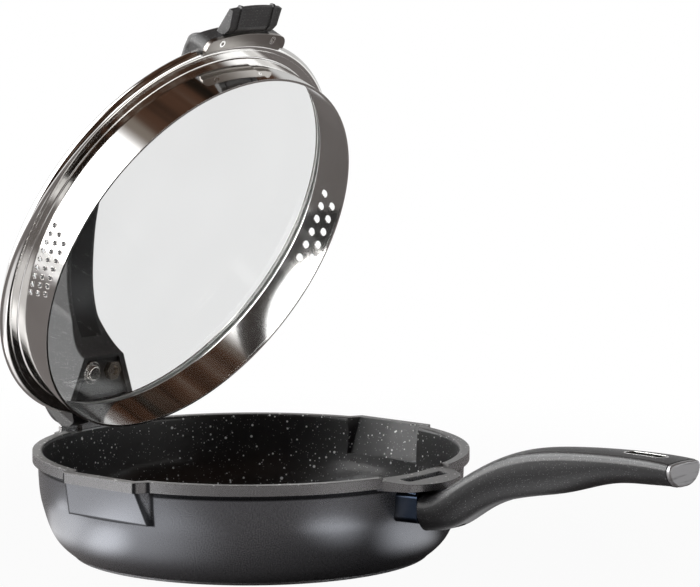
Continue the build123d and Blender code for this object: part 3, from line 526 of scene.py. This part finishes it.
finishes = {
    "pan_body": panCoating(),
    "induction_disc": brushedMetal("discSteel", "disc"),
    "handle_ferrule": polishedSteel("ferruleSteel", 0.20, steelLook["ferrule"], 500, 0.0004),
    "handle_grip": handlePlastic("gripPlastic", plasticLook["grip"], 0.30, 0.36),
    "hanging_eye_liner": brightSteel,
    "handle_end_cap": brushedMetal("capMetal", "cap"),
    "handle_screw": brightSteel,
    "hinge_bracket": satinSteel,
    "bracket_clamp_plate": satinSteel,
    "bracket_screws": brightSteel,
    "hinge_pin": satinSteel,
    "hinge_washers": paleRubber("washerPlastic"),
    "strainer_band": mirrorSteel,
    "lid_rim": mirrorSteel,
    "glass_seal": paleRubber("sealRubber"),
    "lid_glass": clearGlass(),
    "lid_handle": handlePlastic("lidPlastic", plasticLook["lid"], 0.40, 0.36, 0.35),
    "handle_liner": shadedBlackPlastic,
    "rear_foot_plate": shadedBlackPlastic,
    "foot_washer": brightSteel,
    "foot_screw": brightSteel,
    "foot_nut": polishedSteel("nutSteel", 0.2, steelLook["nut"], 500, 0.0004),
    "front_clamp": polishedSteel("clampSteel", 0.26, steelLook["clamp"], 700, 0.0004),
    "front_clamp_screws": brightSteel,
    "pin_plug": shadedBlackPlastic,
}
for nodeName, material in finishes.items():
    piece = nodes[nodeName]
    piece.data.materials.clear()
    piece.data.materials.append(material)

# how the lid stands: turned back about the hinge pin
lidHinge = {"place": (-0.1475, 0.0, 0.083), "turn": -63.5}
toHinge = Matrix.Translation(lidHinge["place"])
lidTurn = toHinge @ Matrix.Rotation(math.radians(lidHinge["turn"]), 4, "Y") @ toHinge.inverted()

smallHoles = {
    "rows": [9, 8, 7],
    "pitch": 0.0064,
    "rowHeight": 0.0066,
    "firstRow": 0.0612,
    "bandRadius": 0.1368,
    "sunk": 0.00005,
    "radius": 0.0016,
    "corners": 18,
    "burr": [(0.0005, 1.0), (0.0001, 1.06), (-0.0001, 1.10), (-0.00045, 1.12)],   # rise, growth
    "smooth": 40,
}


def holeBurr():
    # one raised ring that the punch leaves round a hole on the outer side of the band
    look = smallHoles
    bpy.ops.object.select_all(action="DESELECT")
    bpy.ops.mesh.primitive_circle_add(vertices=look["corners"], radius=look["radius"],
                                      location=(0, 0, 0))
    ring = bpy.context.object
    bpy.ops.object.mode_set(mode="EDIT")
    bpy.ops.mesh.select_all(action="SELECT")
    for rise, grow in look["burr"]:
        bpy.ops.mesh.extrude_edges_move(TRANSFORM_OT_translate={"value": (0, 0, rise)})
        bpy.ops.transform.resize(value=(grow, grow, 1), center_override=(0, 0, 0))
    bpy.ops.mesh.select_all(action="SELECT")
    bpy.ops.mesh.normals_make_consistent(inside=False)
    bpy.ops.object.mode_set(mode="OBJECT")
    return ring


def holeBurrs():
    look = smallHoles
    master = holeBurr()
    made = []
    for row, count in enumerate(look["rows"]):
        for index in range(count):
            step = (index - (count - 1) / 2) * look["pitch"] / look["bandRadius"]
            angle = math.radians(-90) + step
            out = Vector((math.cos(angle), math.sin(angle), 0))
            spot = out * (look["bandRadius"] - look["sunk"])
            spot.z = look["firstRow"] - row * look["rowHeight"]
            copy = master.copy()
            copy.data = master.data.copy()
            bpy.context.scene.collection.objects.link(copy)
            facing = out.to_track_quat("Z", "Y").to_matrix().to_4x4()
            copy.data.transform(lidTurn @ Matrix.Translation(spot) @ facing)
            made.append(copy)
    bpy.data.objects.remove(master)
    bpy.ops.object.select_all(action="DESELECT")
    for copy in made:
        copy.select_set(True)
    bpy.context.view_layer.objects.active = made[0]
    bpy.ops.object.join()
    burrs = bpy.context.object
    burrs.name = "small_hole_burrs"
    bpy.ops.object.shade_smooth_by_angle(angle=math.radians(look["smooth"]))
    burrs.data.materials.clear()
    burrs.data.materials.append(brightSteel)
    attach(burrs, "lid")


print("punched rims of the small holes")
holeBurrs()

glassPane = {   # the lid's glass as it lies when the lid is shut
    "edge": 0.1428,
    "flat": 0.1380,
    "underside": 0.07295,
    "rise": 0.008,
    "thickness": 0.004,
    "rings": [0.128, 0.115, 0.102, 0.088, 0.074, 0.060, 0.046, 0.032, 0.018, 0.007],
    "corners": 160,
    "groundEdge": 0.0006,
    "groundSteps": 3,
    "sharp": 60,
    "smooth": 30,
}


def domeHeight(radius):
    look = glassPane
    sphere = (look["flat"] ** 2 + look["rise"] ** 2) / (2 * look["rise"])
    return math.sqrt(sphere ** 2 - radius ** 2) - (sphere - look["rise"])


def domedGlass():
    # the pane with even rings, so that it bends no light at its middle
    look = glassPane
    middle = (0, 0, look["underside"])
    bpy.ops.object.select_all(action="DESELECT")
    bpy.ops.mesh.primitive_circle_add(vertices=look["corners"], radius=look["edge"],
                                      location=middle)
    pane = bpy.context.object
    pane.name = "domed_glass"
    bpy.ops.object.mode_set(mode="EDIT")
    bpy.ops.mesh.select_all(action="SELECT")
    radius, height = look["edge"], 0.0
    for nextRadius in [look["flat"]] + look["rings"]:
        nextHeight = domeHeight(nextRadius)
        lift = (0, 0, nextHeight - height)
        bpy.ops.mesh.extrude_edges_move(TRANSFORM_OT_translate={"value": lift})
        shrink = nextRadius / radius
        bpy.ops.transform.resize(value=(shrink, shrink, 1), center_override=middle)
        radius, height = nextRadius, nextHeight
    lift = (0, 0, look["rise"] - height)
    bpy.ops.mesh.extrude_edges_move(TRANSFORM_OT_translate={"value": lift})
    bpy.ops.mesh.merge(type="CENTER")
    bpy.ops.mesh.select_all(action="SELECT")
    bpy.ops.mesh.normals_make_consistent(inside=False)
    bpy.ops.object.mode_set(mode="OBJECT")
    wall = pane.modifiers.new("thickness", "SOLIDIFY")
    wall.thickness = look["thickness"]
    wall.offset = -1   # the sheet faces down, so its thickness lies on top
    edge = pane.modifiers.new("groundEdge", "BEVEL")
    edge.width = look["groundEdge"]
    edge.segments = look["groundSteps"]
    edge.limit_method = "ANGLE"
    edge.angle_limit = math.radians(look["sharp"])
    for modifier in ("thickness", "groundEdge"):
        bpy.ops.object.modifier_apply(modifier=modifier)
    bpy.ops.object.shade_smooth_by_angle(angle=math.radians(look["smooth"]))
    bpy.ops.object.transform_apply(location=True, rotation=True, scale=True)
    pane.data.transform(lidTurn)
    pane.data.materials.clear()
    pane.data.materials.append(finishes["lid_glass"])
    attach(pane, "lid")
    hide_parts("lid_glass")


print("domed glass")
domedGlass()

stage = {
    "floorSize": 9.0,
    "floorColour": tone(0.17, 0.155, 0.15),
    "white": tone(1, 1, 1),
    "nearGlow": 0.955,   # how white the floor is seen beside the pan
    "nearReach": (0.22, 0.75),
    "farReach": (0.9, 2.0),   # where mirror images begin to show the floor white
    "pools": [   # light on the floor that only mirror images show
        {"at": (-0.038, -0.160), "inner": 0.008, "outer": 0.045, "strength": 1.5},
        {"at": (-0.055, -0.250), "inner": 0.070, "outer": 0.200, "strength": 0.80},
        {"at": (-0.201, -0.155), "inner": 0.008, "outer": 0.045, "strength": 1.7},
        {"at": (-0.130, -0.120), "inner": 0.035, "outer": 0.090, "strength": 0.9},
        {"at": (0.215, -0.065), "inner": 0.012, "outer": 0.068, "strength": 1.35},
        {"at": (0.165, 0.045), "inner": 0.015, "outer": 0.070, "strength": 1.0},
    ],
    "poolTone": tone(3.0, 3.0, 3.05),
    "poolStart": (0.128, 0.158),   # the pools begin just outside the pan's base
}


def rays(tree):
    # straight at the camera, straight through the glass, and by way of a mirror
    seen = tree.ray("Is Camera Ray")
    through = tree.ray("Is Transmission Ray") * tree.ray("Glossy Depth").below(0.5)
    mirrored = tree.ray("Is Glossy Ray") * (1 - through)
    return seen, through, mirrored


def floor():
    look = stage
    bpy.ops.object.select_all(action="DESELECT")
    bpy.ops.mesh.primitive_plane_add(size=look["floorSize"], location=(0, 0, 0))
    piece = bpy.context.object
    piece.name = "floor"
    material, tree = newMaterial("paleFloor")
    x, y = tree.place()[:2]
    away = (x * x + y * y).root()
    seen, through, mirrored = rays(tree)
    near = look["nearGlow"] + (1 - look["nearGlow"]) * tree.ease(away, *look["nearReach"])
    far = tree.ease(away, *look["farReach"])
    pool = 0.0
    for each in look["pools"]:
        dx, dy = x - each["at"][0], y - each["at"][1]
        off = (dx * dx + dy * dy).root()
        share = each["strength"] / look["poolTone"][0]
        pool = (1 - tree.ease(off, each["inner"], each["outer"])) * share + pool
    pool = pool.least(1.0) * mirrored * tree.ease(away, *look["poolStart"])
    lit = ((seen + through) * near + mirrored * far).most(pool).least(1.0)
    glowTone = tree.mix(mirrored * (1 - far), look["white"], look["poolTone"])
    matt = tree.node("ShaderNodeBsdfDiffuse", {}, {"Color": look["floorColour"]})
    glow = tree.node("ShaderNodeEmission", {}, {"Color": glowTone, "Strength": 1.0})
    both = tree.node("ShaderNodeMixShader", {}, {0: lit, 1: matt, 2: glow})
    tree.node("ShaderNodeOutputMaterial", {}, {"Surface": both})
    piece.data.materials.append(material)


# the studio round the object: a brown room with soft boxes, and the pale backdrop behind
studio = {
    "room": tone(0.078, 0.040, 0.025),
    "corner": tone(0.010, 0.008, 0.006),
    "lamp": tone(0.26, 0.23, 0.20),
    "corners": (0.46, 0.60),   # where the walls' noise turns into corners, and is full
    "lamps": (0.47, 0.34, 0.8),   # the same for lamps, and how much
    "fill": tone(0.18, 0.18, 0.19),
    "boxes": [   # direction, half width, lowest and highest angle in degrees
        {"way": -139, "half": 36, "low": -8, "high": 54, "strength": 3.6, "tint": (0.98, 0.99, 1.0)},
        {"way": -166, "half": 13, "low": 30, "high": 58, "strength": 9.0, "tint": (1, 1, 1)},
        {"way": 8, "half": 16, "low": -8, "high": 6, "strength": 3.0, "tint": (1.0, 0.99, 0.97)},
        {"way": 50, "half": 18, "low": -8, "high": 10, "strength": 1.8, "tint": (0.96, 0.98, 1.0)},
        {"way": 122, "half": 50, "low": -8, "high": 24, "strength": 0.65, "tint": (1, 1, 1)},
        {"way": -135, "half": 24, "low": -6, "high": 16, "strength": 7.0, "tint": (1, 0.99, 0.98)},
    ],
    "sideBlur": (9, 1),   # degrees outside and inside the side edges
    "lowBlur": 0.02,
    "highBlur": (0.03, 0.10),   # below and above the upper edge
}


def world():
    look = studio
    made = bpy.data.worlds.new("studio")
    made.use_nodes = True
    bpy.context.scene.world = made
    made.node_tree.nodes.clear()
    tree = Tree(made.node_tree)
    seen, through, mirrored = rays(tree)
    way = tree.node("ShaderNodeTexCoord", output="Generated")
    dx, dy, dz = tree.split(way)
    flat = (dx * dx + dy * dy).root().most(0.0001)
    drift = tree.noise(3.2, 3.0, 0.55, way)
    walls = tree.mix(tree.ease(drift, *look["corners"]), look["room"], look["corner"])
    walls = tree.mix(tree.fade(drift, *look["lamps"]), walls, look["lamp"])
    room = tree.mix(mirrored, look["fill"], walls)
    outer, inner = look["sideBlur"]
    under, over = look["highBlur"]
    for box in look["boxes"]:
        turn = math.radians(box["way"])
        facing = (dx * math.cos(turn) + dy * math.sin(turn)) / flat
        limits = [math.cos(math.radians(box["half"] + side)) for side in (outer, -inner)]
        inWidth = tree.ease(facing, *limits)
        low, high = [math.sin(math.radians(box[end])) for end in ("low", "high")]
        inHeight = tree.ease(dz, low - look["lowBlur"], low)
        inHeight = inHeight * (1 - tree.ease(dz, high - under, high + over))
        light = tone(*(part * box["strength"] for part in box["tint"]))
        room = tree.mix(inWidth * inHeight, room, light)
    whole = tree.mix((seen + through).least(1.0), room, stage["white"])
    glow = tree.node("ShaderNodeBackground", {}, {"Color": whole, "Strength": 1.0})
    tree.node("ShaderNodeOutputWorld", {}, {"Surface": glow})


print("floor and studio")
floor()
world()
bpy.context.scene.view_settings.view_transform = "Standard"
